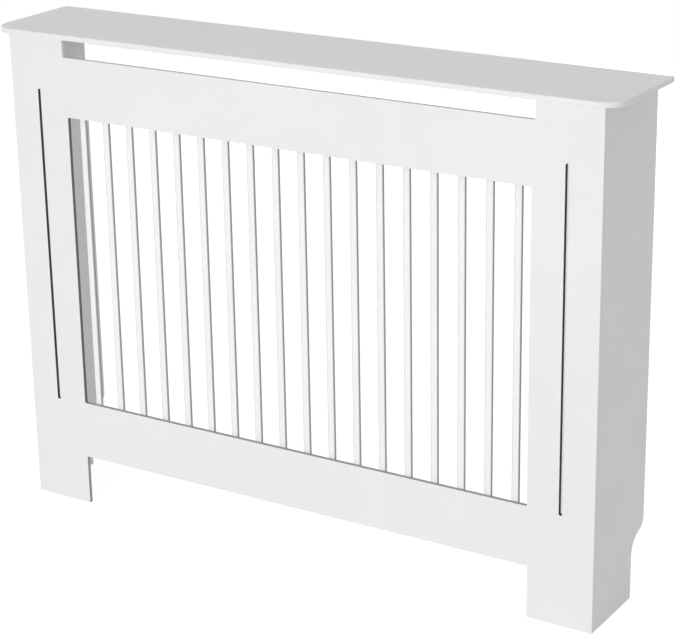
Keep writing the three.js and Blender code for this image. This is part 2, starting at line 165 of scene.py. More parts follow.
def block(low: Sequence[float], high: Sequence[float], name: str = "cutter") -> Piece:
    """Add a rectangular block between two corners.

    Args:
        low: Its lowest corner.
        high: Its highest corner.
        name: The name of the new piece.

    Returns:
        The block.
    """
    put_down_everything()
    low, high = Vector(low), Vector(high)
    bpy.ops.mesh.primitive_cube_add(size=1.0, location=(low + high) / 2, scale=high - low)
    return settle(bpy.context.object, name)


def rod(
    start: Vector, way: Vector, length: float, radius: float, sides: int = 32, name: str = "cutter"
) -> Piece:
    """Add a round rod that starts at a point and runs along a direction.

    Args:
        start: The middle of its first end.
        way: The direction, one unit long.
        length: How far it runs.
        radius: Its radius.
        sides: How many flats it has round it.
        name: The name of the new piece.

    Returns:
        The rod.
    """
    put_down_everything()
    bpy.ops.mesh.primitive_cylinder_add(
        vertices=sides,
        radius=radius,
        depth=length,
        location=start + way * (length / 2),
        rotation=way.to_track_quat("Z", "Y").to_euler(),
    )
    return settle(bpy.context.object, name)


def drill(
    mouth: Sequence[float], way: Vector, depth: float, radius: float, sides: int = 32
) -> Piece:
    """Make the cutter of a hole, which starts 1 mm outside the board.

    Args:
        mouth: The middle of the hole's mouth.
        way: The direction into the board.
        depth: How deep the hole is.
        radius: Its radius.
        sides: How many flats it has round it.

    Returns:
        The cutter.
    """
    return rod(Vector(mouth) - way * MM, way, depth + MM, radius, sides)


def blind_holes(way: Vector, bolts: Sequence[Pair], dowels: Sequence[Pair]) -> list[Piece]:
    """Make the cutters for bolt threads and short dowel ends, on the left and then the right.

    Args:
        way: The direction into the board.
        bolts: Where the bolts' holes start, as Y and Z.
        dowels: Where the dowels' holes start, as Y and Z.

    Returns:
        The cutters.
    """
    holes = [(place, BOLT_THREAD + GAP, THREAD_HOLE_RADIUS) for place in bolts]
    holes += [(place, DOWEL_SHORT + GAP, DOWEL_HOLE_RADIUS) for place in dowels]
    return [
        drill((side * SIDE_MIDDLE_X, *place), way, depth, radius)
        for _, side in SIDES
        for place, depth, radius in holes
    ]


@contextmanager
def edit_mode(piece: Piece, pick: Pick, test: Test | None = None) -> Iterator[None]:
    """Open a piece in edit mode with some of it selected, and close it afterwards.

    Args:
        piece: The piece to edit.
        pick: What the selection is made of.
        test: Picks edges by their two ends, or faces by their middle and normal. Without it
            everything is selected.

    Yields:
        Nothing; the piece is in edit mode meanwhile.
    """
    take(piece)
    bpy.ops.object.mode_set(mode="EDIT")
    bpy.ops.mesh.select_mode(type=pick.value)
    bpy.ops.mesh.select_all(action="SELECT" if test is None else "DESELECT")
    if test is not None:
        mesh = bmesh.from_edit_mesh(piece.data)
        if pick is Pick.EDGE:
            chosen = [edge for edge in mesh.edges if test(edge.verts[0].co, edge.verts[1].co)]
        else:
            chosen = [face for face in mesh.faces if test(face.calc_center_median(), face.normal)]
        for part in chosen:
            part.select_set(True)
        mesh.select_flush_mode()
        bmesh.update_edit_mesh(piece.data)
    yield
    bpy.ops.object.mode_set(mode="OBJECT")
    piece.select_set(False)


def edge_at(near: float = 0.01 * MM, **place: float) -> Test:
    """Make the test for edges whose two ends lie at the same given coordinates.

    Args:
        near: How close counts as there.
        **place: The coordinates, each by the name of its axis.

    Returns:
        The test.
    """
    return lambda a, b: all(
        abs(getattr(end, axis) - value) < near for end in (a, b) for axis, value in place.items()
    )


def round_edges(piece: Piece, radius: float, segments: int, test: Test) -> None:
    """Round the straight edges that pass a test.

    Args:
        piece: The piece.
        radius: How far the rounding reaches along each face.
        segments: How many flats the rounding has.
        test: Takes the places of an edge's two ends.
    """
    with edit_mode(piece, Pick.EDGE, test):
        bpy.ops.mesh.bevel(
            offset=radius,
            offset_type="OFFSET",
            segments=segments,
            profile=0.5,
            affect="EDGES",
            clamp_overlap=False,
        )


def weld(piece: Piece, distance: float = WELD) -> None:
    """Merge corners that lie on each other and turn all faces outwards.

    Args:
        piece: The piece.
        distance: How near two corners are when they count as one.
    """
    with edit_mode(piece, Pick.CORNER):
        bpy.ops.mesh.remove_doubles(threshold=distance)
        bpy.ops.mesh.normals_make_consistent(inside=False)


def run_modifier(piece: Piece, kind: str, **settings: object) -> None:
    """Add a modifier to a piece and apply it.

    Args:
        piece: The piece.
        kind: The modifier's type.
        **settings: The modifier's settings.
    """
    take(piece)
    modifier = piece.modifiers.new(kind.title(), kind)
    for setting, value in settings.items():
        setattr(modifier, setting, value)
    bpy.ops.object.modifier_apply(modifier=modifier.name)


def carve(piece: Piece, cutters: Sequence[Piece]) -> None:
    """Cut shapes out of a piece and throw the cutters away.

    Args:
        piece: The piece that is cut.
        cutters: Closed shapes, cut out one after the other.
    """
    for cutter in cutters:
        run_modifier(piece, "BOOLEAN", operation="DIFFERENCE", solver="EXACT", object=cutter)
        bpy.data.objects.remove(cutter, do_unlink=True)


def ease_edges(piece: Piece, radius: float, segments: int = 3) -> None:
    """Take the sharpness off every edge that turns more than 40 degrees.

    Args:
        piece: The piece.
        radius: How far the rounding reaches along each face.
        segments: How many flats it has.
    """
    run_modifier(
        piece,
        "BEVEL",
        width=radius,
        segments=segments,
        limit_method="ANGLE",
        angle_limit=math.radians(40),
        use_clamp_overlap=False,
    )


def smooth(piece: Piece, material: Material | None = None, degrees: float = 35) -> None:
    """Shade the rounded parts of a piece smoothly, and give it its main finish.

    Args:
        piece: The piece, whose flats stay flat.
        material: The finish, or None where the piece has it already.
        degrees: Edges that turn more than this stay sharp.
    """
    take(piece)
    bpy.ops.object.shade_smooth_by_angle(angle=math.radians(degrees))
    run_modifier(piece, "WEIGHTED_NORMAL", keep_sharp=True)
    if material is not None:
        piece.data.materials.append(material)


def copy_of(piece: Piece, name: str, placing: Matrix) -> Piece:
    """Copy a finished piece, with a mesh of its own, to another place.

    Args:
        piece: The piece to copy.
        name: The name of the copy.
        placing: Takes the piece's place to the copy's.

    Returns:
        The copy.
    """
    take(piece)
    bpy.ops.object.duplicate(linked=False)
    twin = bpy.context.object
    twin.matrix_world = placing
    return settle(twin, name)


def paint_faces(piece: Piece, material: Material, test: Test) -> None:
    """Give the faces that pass a test a finish of their own.

    Args:
        piece: The piece, which has its main finish already.
        material: The finish of the chosen faces.
        test: Takes a face's middle and its normal.
    """
    piece.data.materials.append(material)
    index = len(piece.data.materials) - 1
    for polygon in piece.data.polygons:
        if test(polygon.center, polygon.normal):
            polygon.material_index = index


def deliver(piece: Piece, nodes: Sequence[str], body: str = COVER) -> None:
    """Hand a finished piece over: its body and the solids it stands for.

    Args:
        piece: The finished piece.
        nodes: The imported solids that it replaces.
        body: The body that it moves with.
    """
    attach(piece, body)
    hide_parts(*nodes)
    LOG.info("%s: %d faces, rides on %s", piece.name, len(piece.data.polygons), body)


def bare_tree(owner: Material | bpy.types.World, output: str) -> tuple[Tree, Socket]:
    """Clear the nodes of a material or a world down to its output.

    Args:
        owner: The material or world.
        output: The type of its output node.

    Returns:
        The nodes, and the output's surface socket.
    """
    owner.use_nodes = True
    owner.node_tree.nodes.clear()
    return owner.node_tree, owner.node_tree.nodes.new(output).inputs["Surface"]


def add_node(tree: Tree, kind: str, **values: object) -> bpy.types.Node:
    """Add a node and set some of its sockets.

    Args:
        tree: The nodes that it joins.
        kind: Its type.
        **values: What its sockets are set to, with _ for a space in a socket's name.

    Returns:
        The node.
    """
    node = tree.nodes.new(kind)
    for socket, value in values.items():
        node.inputs[socket.replace("_", " ")].default_value = value
    return node


# Finishes


@dataclass(frozen=True)
class Grain:
    """A noise pattern: its scale per metre, its finer layers, and how fine along X, Y and Z."""

    scale: float
    detail: float
    stretch: Triple | None = None

    def noise(self, tree: Tree, place: Socket) -> Socket:
        """Add the pattern to a material.

        Args:
            tree: The material's nodes.
            place: The object coordinates.

        Returns:
            The socket with its value.
        """
        node = add_node(tree, "ShaderNodeTexNoise", Scale=self.scale, Detail=self.detail)
        if self.stretch is not None:
            mapping = add_node(tree, "ShaderNodeMapping", Scale=self.stretch)
            tree.links.new(place, mapping.inputs["Vector"])
            place = mapping.outputs["Vector"]
        tree.links.new(place, node.inputs["Vector"])
        return node.outputs["Fac"]


@dataclass(frozen=True)
class Finish:
    """A finish whose tone, roughness and relief each follow a grain.

    Each of the two tones is a value of the grain and what the colour is multiplied by there.
    Each relief is a grain and its height, the coarsest first.
    """

    name: str
    colour: Triple
    tone: Grain
    tones: tuple[Pair, Pair]
    gloss: Grain
    roughness: Pair
    relief: tuple[tuple[Grain, float], ...]
    specular: float = 0.5
    metallic: float = 0.0

    def stops(self) -> list[tuple[float, Triple]]:
        """List the two tones as a value of the grain and a colour each."""
        return [(place, tuple(part * by for part in self.colour)) for place, by in self.tones]

    def mix(self) -> Material:
        """Make the material.

        Returns:
            The material, made of nodes on object coordinates.
        """
        material = bpy.data.materials.new(self.name)
        tree, surface = bare_tree(material, "ShaderNodeOutputMaterial")
        link = tree.links.new
        plain = {"Specular_IOR_Level": self.specular, "Metallic": self.metallic}
        shader = add_node(tree, "ShaderNodeBsdfPrincipled", **plain)
        link(shader.outputs["BSDF"], surface)
        place = add_node(tree, "ShaderNodeTexCoord").outputs["Object"]
        ramp = add_node(tree, "ShaderNodeValToRGB")
        for element, (position, colour) in zip(ramp.color_ramp.elements, self.stops()):
            element.position = position
            element.color = (*colour, 1.0)
        link(self.tone.noise(tree, place), ramp.inputs["Fac"])
        link(ramp.outputs["Color"], shader.inputs["Base Color"])
        low, high = self.roughness
        ends = {"From_Min": NOISE_LOW, "From_Max": NOISE_HIGH, "To_Min": low, "To_Max": high}
        spread = add_node(tree, "ShaderNodeMapRange", **ends)
        link(self.gloss.noise(tree, place), spread.inputs["Value"])
        link(spread.outputs["Result"], shader.inputs["Roughness"])
        under = None
        for grain, height in self.relief:
            bump = add_node(tree, "ShaderNodeBump", Distance=height, Strength=1.0)
            link(grain.noise(tree, place), bump.inputs["Height"])
            if under is not None:
                link(under, bump.inputs["Normal"])
            under = bump.outputs["Normal"]
        link(under, shader.inputs["Normal"])
        return material


SPRAY_WAVES, SPRAY_PEEL = Grain(38.0, 1.0), Grain(520.0, 2.0)
FIBRES = Grain(900.0, 5.0, (1.0, 2.6, 0.5))
SAND = Grain(2600.0, 4.0)
CLOUDS = Grain(160.0, 3.0)
ROLLING_LINES = Grain(900.0, 3.0, (1.0, 1.0, 0.08))
FLECKS = Grain(1500.0, 2.0, (1.0, 0.35, 0.35))


@dataclass(frozen=True)
class SatinPaint(Finish):
    """Sprayed satin paint on smooth fibreboard: faint clouds, and the fine relief of spray."""

    tone: Grain = Grain(6.0, 3.0)
    tones: tuple[Pair, Pair] = ((0.35, 0.988), (0.65, 1.012))
    gloss: Grain = Grain(45.0, 4.0)
    roughness: Pair = (0.37, 0.47)
    relief: tuple[tuple[Grain, float], ...] = ((SPRAY_WAVES, 0.06 * MM), (SPRAY_PEEL, 0.03 * MM))
    specular: float = 0.3


@dataclass(frozen=True)
class PaintedEdgeShade(Finish):
    """Darker matt paint on sawn and routed board edges: painted shade, over the fine relief of the
    fibres.
    """

    tone: Grain = FIBRES
    tones: tuple[Pair, Pair] = ((0.3, 0.86), (0.7, 1.1))
    gloss: Grain = FIBRES
    roughness: Pair = (0.78, 0.58)
    relief: tuple[tuple[Grain, float], ...] = ((FIBRES, 0.06 * MM),)
    specular: float = 0.25


@dataclass(frozen=True)
class CastZinc(Finish):
    """Die-cast zinc of the cam discs: dull, finely pitted."""

    name: str = "cast_zinc_dull"
    colour: Triple = (0.40, 0.41, 0.43)
    tone: Grain = Grain(340.0, 3.0)
    tones: tuple[Pair, Pair] = ((0.3, 0.8), (0.7, 1.15))
    gloss: Grain = SAND
    roughness: Pair = (0.34, 0.52)
    relief: tuple[tuple[Grain, float], ...] = ((SAND, 0.04 * MM),)
    metallic: float = 0.95


@dataclass(frozen=True)
class PlatedSteel(Finish):
    """Bright zinc-plated steel: fine rolling lines under a slightly cloudy plating."""

    name: str = "plated_steel_bright"
    colour: Triple = (0.56, 0.55, 0.53)
    tone: Grain = CLOUDS
    tones: tuple[Pair, Pair] = ((0.3, 0.88), (0.7, 1.12))
    gloss: Grain = CLOUDS
    roughness: Pair = (0.2, 0.36)
    relief: tuple[tuple[Grain, float], ...] = ((ROLLING_LINES, 0.015 * MM),)
    metallic: float = 1.0


@dataclass(frozen=True)
class BareBeech(Finish):
    """Bare beech of the dowels: pale wood with short dark flecks."""

    name: str = "bare_beech"
    colour: Triple = (0.62, 0.42, 0.23)
    dark: Triple = (0.42, 0.25, 0.12)
    tone: Grain = Grain(420.0, 4.0, (1.0, 0.3, 0.3))
    tones: tuple[Pair, Pair] = ((0.32, 1.0), (0.6, 1.0))
    gloss: Grain = FLECKS
    roughness: Pair = (0.62, 0.82)
    relief: tuple[tuple[Grain, float], ...] = ((FLECKS, 0.05 * MM),)
    specular: float = 0.3

    def stops(self) -> list[tuple[float, Triple]]:
        """List the dark and the pale tone as a value of the grain and a colour each."""
        return [(self.tones[0][0], self.dark), (self.tones[1][0], self.colour)]


@dataclass(frozen=True)
class Finishes:
    """Every finish on the cover, mixed once and shared by its pieces."""

    board: Material
    slat: Material
    # The four edge finishes hold painted shade: darker grey in place of the shade on edges, slat
    # sides and groove walls.
    cut_edge: Material
    window_edge: Material
    slat_edge: Material
    groove: Material
    zinc: Material
    steel: Material
    beech: Material

    @classmethod
    def mixed(cls) -> "Finishes":
        """Mix all the finishes."""
        return cls(
            board=SatinPaint("board_satin_white", (0.835, 0.836, 0.842)).mix(),
            slat=SatinPaint("slat_satin_white", (0.900, 0.901, 0.905)).mix(),
            # Painted shade: these four darker greys stand in for the shade on board edges, window
            # sides, slat sides and groove walls.
            cut_edge=PaintedEdgeShade("board_cut_edge", (0.42, 0.42, 0.43)).mix(),
            window_edge=PaintedEdgeShade("window_cut_edge", (0.17, 0.17, 0.175)).mix(),
            slat_edge=PaintedEdgeShade("slat_cut_edge", (0.48, 0.48, 0.49)).mix(),
            groove=PaintedEdgeShade("painted_shade_groove_wall", (0.055, 0.055, 0.058)).mix(),
            zinc=CastZinc().mix(),
            steel=PlatedSteel().mix(),
            beech=BareBeech().mix(),
        )


# Boards


@dataclass
class TopShelf:
    """The shelf board, square at the wall, with two round front corners."""

    finishes: Finishes
    half_width: float = 552 * MM
    front_y: float = -95 * MM
    top: float = 815 * MM
    corner_radius: float = 36 * MM
    corner_segments: int = 24
    edge_radius: float = 2 * MM
    edge_segments: int = 5

    def build(self) -> None:
        """Saw the board, round its corners and edges, drill and paint it."""
        low = -self.half_width, self.front_y, SHELF_UNDERSIDE
        board = block(low, (self.half_width, WALL_Y, self.top), "shelf_board")
        round_edges(
            board,
            self.corner_radius,
            self.corner_segments,
            lambda a, b: a.y < 0 and b.y < 0 and abs(a.z - b.z) > MM,
        )
        ease_edges(board, self.edge_radius, self.edge_segments)
        bolts = [(SIDE_FRONT_Y + depth, SHELF_UNDERSIDE) for _, depth in SHELF_CAM_DEPTHS]
        dowels = [(SIDE_FRONT_Y + SHELF_DOWEL_DEPTH, SHELF_UNDERSIDE)]
        carve(board, blind_holes(Z_AXIS, bolts, dowels))
        smooth(board, self.finishes.board)
        deliver(board, ["top_shelf"])


@dataclass
class FrontPanel:
    """The front board with its window, air slot, arch and two blind grooves."""

    finishes: Finishes
    slot_half: float = 420 * MM
    slot_bottom: float = 775.5 * MM
    arch_half: float = 418 * MM
    arch_top: float = 86 * MM
    corner_radius: float = 3 * MM
    corner_segments: int = 6
    groove_x: float = 471.5 * MM
    groove_width: float = 6 * MM
    groove_floor: float = 3 * MM
    groove_depth: float = 4 * MM
    groove_bottom: float = 181 * MM
    groove_top: float = 719 * MM
    groove_segments: int = 10
    edge_radius: float = 0.7 * MM
    overcut: float = 5 * MM
    overrun: float = 20 * MM

    def opening(self, half: float, bottom: float, top: float) -> Piece:
        """Make the cutter of an opening, with small round corners where they lie in the board.

        Args:
            half: Half its width.
            bottom: Its lower edge.
            top: Its upper edge.

        Returns:
            The cutter, which runs through the board.
        """
        low = -half, FRONT_FACE_Y - self.overcut, bottom
        cutter = block(low, (half, FRONT_BACK_Y + self.overcut, top))
        round_edges(
            cutter,
            self.corner_radius,
            self.corner_segments,
            lambda a, b: abs(a.y - b.y) > MM and 0 < a.z < BOARD_TOP,
        )
        return cutter

    def groove(self, side: int) -> Piece:
        """Make the cutter of one upright groove with round ends and slanted walls.

        Args:
            side: -1 for the left groove and 1 for the right one.

        Returns:
            The cutter, which narrows from the front face to the groove's floor inside the board.
        """
        half = self.groove_width / 2
        middle = side * self.groove_x
        low = middle - half, FRONT_FACE_Y - self.overcut, self.groove_bottom
        cutter = block(low, (middle + half, FRONT_FACE_Y, self.groove_top))
        end_radius = half * 0.999
        round_edges(cutter, end_radius, self.groove_segments, lambda a, b: abs(a.y - b.y) > MM)
        weld(cutter, 0.01 * MM)
        with edit_mode(cutter, Pick.FACE, lambda middle, normal: normal.y > 0.9):
            taper = (self.groove_width - self.groove_floor) / 2
            bpy.ops.mesh.inset(thickness=taper, depth=self.groove_depth)
        return cutter

    def is_groove_wall(self, middle: Vector, normal: Vector) -> bool:
        """Say whether a face is a wall or a round end of a groove, below the front face.

        Args:
            middle: The face's middle.
            normal: Its normal.

        Returns:
            Whether it is.
        """
        inside = abs(abs(middle.x) - self.groove_x) < self.groove_width / 2 + 0.1 * MM
        level = self.groove_bottom - MM < middle.z < self.groove_top + MM
        below = FRONT_FACE_Y + 0.5 * MM < middle.y < FRONT_FACE_Y + self.groove_depth
        return inside and level and below and abs(normal.y) < 0.5

    def is_cut_edge(self, middle: Vector, normal: Vector) -> bool:
        """Say whether a face is a wall of the window or the arch."""
        within = abs(middle.x) < self.slot_half + MM and middle.z < WINDOW_TOP + MM
        return within and abs(normal.y) < 0.3 and FRONT_FACE_Y < middle.y < FRONT_BACK_Y

    def is_window_side(self, middle: Vector, normal: Vector) -> bool:
        """Say whether a face is an upright wall of the window."""
        upright = middle.z > WINDOW_BOTTOM - MM and abs(normal.x) > 0.5
        return upright and self.is_cut_edge(middle, normal)

    def build(self) -> None:
        """Saw the board and its openings, rout the grooves, drill and paint it, with painted shade
        on its walls and grooves.
        """
        low = -HALF_BODY, FRONT_FACE_Y, 0
        board = block(low, (HALF_BODY, FRONT_BACK_Y, BOARD_TOP), "front_board")
        openings = [
            self.opening(WINDOW_HALF, WINDOW_BOTTOM, WINDOW_TOP),
            self.opening(self.slot_half, self.slot_bottom, BOARD_TOP + self.overrun),
            self.opening(self.arch_half, -self.overrun, self.arch_top),
        ]
        carve(board, openings)
        ease_edges(board, self.edge_radius)
        grooves = [self.groove(side) for _, side in SIDES]
        bolts = [(FRONT_BACK_Y, height) for _, height in FRONT_CAM_HEIGHTS]
        dowels = [(FRONT_BACK_Y, height) for _, height in FRONT_DOWEL_HEIGHTS]
        carve(board, grooves + blind_holes(-Y_AXIS, bolts, dowels))
        smooth(board, self.finishes.board)
        # Painted shade: the walls of the window and arch, the window's upright walls and the groove
        # walls get darker grey in place of their shade.
        paint_faces(board, self.finishes.cut_edge, self.is_cut_edge)
        paint_faces(board, self.finishes.window_edge, self.is_window_side)
        paint_faces(board, self.finishes.groove, self.is_groove_wall)
        deliver(board, ["front_panel"])


@dataclass
class SidePanels:
    """The two side boards, cut away in a curve behind for the skirting board."""

    finishes: Finishes
    cut_depth: float = 42 * MM
    straight_top: float = 72 * MM
    curve_top: float = 122 * MM
    upper_radius: float = 18 * MM
    lower_segments: int = 20
    upper_segments: int = 14
    edge_radius: float = 0.8 * MM
    screw_hole_depth: float = 7 * MM
    screw_hole_radius: float = 2 * MM
    overcut: float = 20 * MM

    def skirting_cut(self, board: Piece) -> None:
        """Cut the notch for the skirting board and round it into two arcs that meet.

        Args:
            board: The plain left side board.
        """
        rise = self.curve_top - self.straight_top
        turn = 2 * math.atan(self.cut_depth / rise)
        lower_radius = rise / math.sin(turn) - self.upper_radius
        lower_reach = lower_radius * math.tan(turn / 2)
        upper_reach = self.upper_radius * math.tan(turn / 2)
        notch_y = WALL_Y - self.cut_depth
        inner_z = self.straight_top + lower_reach
        outer_z = self.curve_top - upper_reach
        slope = (outer_z - inner_z) / self.cut_depth
        over = self.overcut
        low = -HALF_BODY - over, notch_y, -over
        notch = block(low, (-SIDE_INNER_X + over, WALL_Y + over, inner_z))
        with edit_mode(
            notch, Pick.EDGE, lambda a, b: min(a.z, b.z) > 0 and min(a.y, b.y) > WALL_Y
        ):
            bpy.ops.transform.translate(value=(0, 0, slope * (self.cut_depth + over)))
        carve(board, [notch])
        near = 0.5 * MM
        inner, outer = edge_at(near, y=notch_y, z=inner_z), edge_at(near, y=WALL_Y, z=outer_z)
        round_edges(board, lower_reach, self.lower_segments, inner)
        round_edges(board, upper_reach, self.upper_segments, outer)

    def drills(self) -> list[Piece]:
        """Make the cutters for every hole in the left board.

        Returns:
            The cutters for the cam discs, bolts, dowels, the rail's bolt and the bracket's screw.
        """
        face, middle, front = -SIDE_INNER_X, -SIDE_MIDDLE_X, SIDE_FRONT_Y
        cam = CAM_HOLE_DEPTH, CAM_HOLE_RADIUS, CAM_SIDES
        shank = BOLT_REACH - MM, SHANK_HOLE_RADIUS
        dowel = DOWEL_LENGTH - DOWEL_SHORT + GAP, DOWEL_HOLE_RADIUS
        bolt = BOLT_THREAD + GAP, THREAD_HOLE_RADIUS
        screw = self.screw_hole_depth, self.screw_hole_radius
        screw_place = face, WALL_Y - BRACKET_HOLE_INSET, BRACKET_MIDDLE_Z
        holes = []
        for _, height in FRONT_CAM_HEIGHTS:
            holes.append(((face, front + BOLT_REACH, height), -X_AXIS, *cam))
            holes.append(((middle, front, height), Y_AXIS, *shank))
        for _, height in FRONT_DOWEL_HEIGHTS:
            holes.append(((middle, front, height), Y_AXIS, *dowel))
        for _, depth in SHELF_CAM_DEPTHS:
            holes.append(((face, front + depth, BOARD_TOP - BOLT_REACH), -X_AXIS, *cam))
            holes.append(((middle, front + depth, BOARD_TOP), -Z_AXIS, *shank))
        holes.append(((middle, front + SHELF_DOWEL_DEPTH, BOARD_TOP), -Z_AXIS, *dowel))
        holes.append(((face, RAIL_MIDDLE_Y, RAIL_MIDDLE_Z), -X_AXIS, *bolt))
        holes.append((screw_place, -X_AXIS, *screw))
        return [drill(*hole) for hole in holes]

    def build(self) -> None:
        """Shape and drill the left board, and mirror it into the right one."""
        low = -HALF_BODY, SIDE_FRONT_Y, 0
        left = block(low, (-SIDE_INNER_X, WALL_Y, BOARD_TOP), "side_board_left")
        self.skirting_cut(left)
        ease_edges(left, self.edge_radius)
        carve(left, self.drills())
        right = copy_of(left, "side_board_right", MIRRORED)
        weld(right)
        for board, node in ((left, "side_panel_left"), (right, "side_panel_right")):
            smooth(board, self.finishes.board)
            deliver(board, [node])


@dataclass
class BackRail:
    """The board under the shelf that keeps the sides apart at the wall."""

    finishes: Finishes
    half_length: float = SIDE_INNER_X - GAP
    half_height: float = 20 * MM
    half_thickness: float = 5 * MM
    edge_radius: float = 0.8 * MM

    def build(self) -> None:
        """Saw, ease, drill and paint the rail."""
        middle = Vector((0, RAIL_MIDDLE_Y, RAIL_MIDDLE_Z))
        corner = Vector((self.half_length, self.half_thickness, self.half_height))
        rail = block(middle - corner, middle + corner, "back_rail_board")
        ease_edges(rail, self.edge_radius)
        cutters = []
        for _, side in SIDES:
            cam = middle + X_AXIS * side * (self.half_length - BOLT_REACH)
            mouth = cam - Y_AXIS * self.half_thickness
            cutters.append(drill(mouth, Y_AXIS, CAM_HOLE_DEPTH, CAM_HOLE_RADIUS, CAM_SIDES))
            cutters.append(rod(cam, X_AXIS * side, BOLT_REACH + MM, SHANK_HOLE_RADIUS))
        carve(rail, cutters)
        smooth(rail, self.finishes.board)
        deliver(rail, ["back_rail"])


# Grille


@dataclass
class Grille:
    """Eighteen upright slats whose ends sit in the notches of two battens."""

    finishes: Finishes
    count: int = 18
    pitch: float = 46.15 * MM
    front: float = FRONT_BACK_Y + GAP
    slat_width: float = 12 * MM
    slat_thickness: float = 5 * MM
    slat_radius: float = 1.1 * MM
    slat_segments: int = 4
    slat_end_radius: float = 0.3 * MM
    batten_height: float = 28 * MM
    batten_thickness: float = 12 * MM
    batten_half: float = 440 * MM
    batten_edge_radius: float = 0.25 * MM
    set_back: float = 6 * MM
    overcut: float = 2 * MM

    @property
    def bottom(self) -> float:
        """The height of the slats' lower ends."""
        return WINDOW_BOTTOM - self.set_back - self.batten_height

    @property
    def top(self) -> float:
        """The height of the slats' upper ends."""
        return WINDOW_TOP + self.set_back + self.batten_height

    def middle_of(self, index: int) -> float:
        """Say where along X the middle of a slat is."""
        return (index - (self.count - 1) / 2) * self.pitch

    def build_slats(self) -> None:
        """Shape the first slat with rounded long edges, paint shade on its sides and ends, and copy
        it along the window.
        """
        first_x, half = self.middle_of(0), self.slat_width / 2
        low = first_x - half, self.front, self.bottom
        high = first_x + half, self.front + self.slat_thickness, self.top
        slat = block(low, high, "grille_slat_01")
        tall = (self.top - self.bottom) / 2
        round_edges(slat, self.slat_radius, self.slat_segments, lambda a, b: abs(a.z - b.z) > tall)
        ease_edges(slat, self.slat_end_radius, 2)
        smooth(slat, self.finishes.slat, 50)
        # Painted shade: the slat's sides, rounded long edges and ends get darker grey in place of
        # the shade there.
        paint_faces(
            slat,
            self.finishes.slat_edge,
            lambda middle, normal: abs(normal.x) > 0.1 or abs(normal.z) > 0.8,
        )
        slats = [slat]
        for index in range(1, self.count):
            shift = Matrix.Translation((self.middle_of(index) - first_x, 0, 0))
            slats.append(copy_of(slat, f"grille_slat_{index + 1:02d}", shift))
        for index, piece in enumerate(slats):
            deliver(piece, [f"slat_{index + 1:02d}"])

    def build_batten(self, level: str, bottom: float) -> None:
        """Shape one batten and saw its notches.

        Args:
            level: Which batten it is, in the names of the piece and of its solid.
            bottom: The height of its lower edge.
        """
        top = bottom + self.batten_height
        high = self.batten_half, self.front + self.batten_thickness, top
        batten = block((-self.batten_half, self.front, bottom), high, f"grille_batten_{level}")
        half, over = self.slat_width / 2 + GAP, self.overcut
        low = self.middle_of(0) - half, self.front - over, bottom - over
        floor_y = self.front + self.slat_thickness + GAP
        notch = block(low, (self.middle_of(0) + half, floor_y, top + over))
        run_modifier(
            notch,
            "ARRAY",
            count=self.count,
            use_relative_offset=False,
            use_constant_offset=True,
            constant_offset_displace=(self.pitch, 0, 0),
        )
        carve(batten, [notch])
        ease_edges(batten, self.batten_edge_radius, 2)
        smooth(batten, self.finishes.board)
        deliver(batten, [f"slat_batten_{level}"])

    def build(self) -> None:
        """Make the slats and the two battens."""
        self.build_slats()
        self.build_batten("bottom", self.bottom)
        self.build_batten("top", self.top - self.batten_height)


# Fittings


def turned_piece(
    name: str, start: Pair, rings: Sequence[Pair], sides: int, material: Material
) -> Piece:
    """Draw a round piece out along +X from a flat disc, ring after ring.

    Args:
        name: The piece's name.
        start: The place along X and the radius of its first end.
        rings: The place along X and the radius of each ring that follows.
        sides: How many flats it has round it.
        material: Its finish.

    Returns:
        The closed piece.
    """
    put_down_everything()
    place, radius = start
    bpy.ops.mesh.primitive_circle_add(
        vertices=sides,
        radius=radius,
        fill_type="NGON",
        location=(place, 0, 0),
        rotation=(0, math.pi / 2, 0),
    )
    piece = settle(bpy.context.object, name)
    with edit_mode(piece, Pick.FACE):
        for next_place, next_radius in rings:
            step, factor = (next_place - place, 0, 0), next_radius / radius
            bpy.ops.mesh.extrude_region_move(TRANSFORM_OT_translate={"value": step})
            bpy.ops.transform.resize(
                value=(1, factor, factor), center_override=(next_place, 0, 0)
            )
            place, radius = next_place, next_radius
    weld(piece)
    smooth(piece, material)
    return piece


def thread(
    start: float, pitch: float, turns: int, profile: Sequence[Pair], taper: float = 0.0
) -> list[Pair]:
    """List the rings of a screw thread for turned_piece.

    Args:
        start: Where it starts along X.
        pitch: The length of one turn.
        turns: How many turns it has.
        profile: The place within the turn and the radius of each ring.
        taper: By what part each turn from the fifth on is thinner.

    Returns:
        The rings.
    """
    return [
        (start + turn * pitch + along, radius * (1 - taper * max(0, turn - 3)))
        for turn in range(turns)
        for along, radius in profile
    ]


@dataclass(frozen=True)
class FittingPlace:
    """Where one cam fitting sits: the disc's middle, and the ways its bolt and its face point."""

    label: str
    middle: Vector
    bolt_way: Vector
    face_way: Vector

    def placing(self) -> Matrix:
        """Give the matrix from the fitting's own axes to the cover's."""
        axes = Matrix((self.bolt_way, self.face_way.cross(self.bolt_way), self.face_way))
        return Matrix.Translation(self.middle) @ axes.transposed().to_4x4()


def fitting_places() -> list[FittingPlace]:
    """List the twelve cam fittings.

    Returns:
        Three between the front and each side, two between the shelf and each side, and one at
        each end of the rail.
    """
    places = []
    for side_name, side in SIDES:
        inwards = X_AXIS * -side
        x = side * SIDE_MIDDLE_X
        for level, height in FRONT_CAM_HEIGHTS:
            middle = Vector((x, SIDE_FRONT_Y + BOLT_REACH, height))
            places.append(FittingPlace(f"front_{level}_{side_name}", middle, -Y_AXIS, inwards))
        for place, depth in SHELF_CAM_DEPTHS:
            middle = Vector((x, SIDE_FRONT_Y + depth, BOARD_TOP - BOLT_REACH))
            places.append(FittingPlace(f"shelf_{place}_{side_name}", middle, Z_AXIS, inwards))
        middle = Vector((side * (SIDE_INNER_X - GAP - BOLT_REACH), RAIL_MIDDLE_Y, RAIL_MIDDLE_Z))
        places.append(FittingPlace(f"rail_{side_name}", middle, X_AXIS * side, -Y_AXIS))
    return places


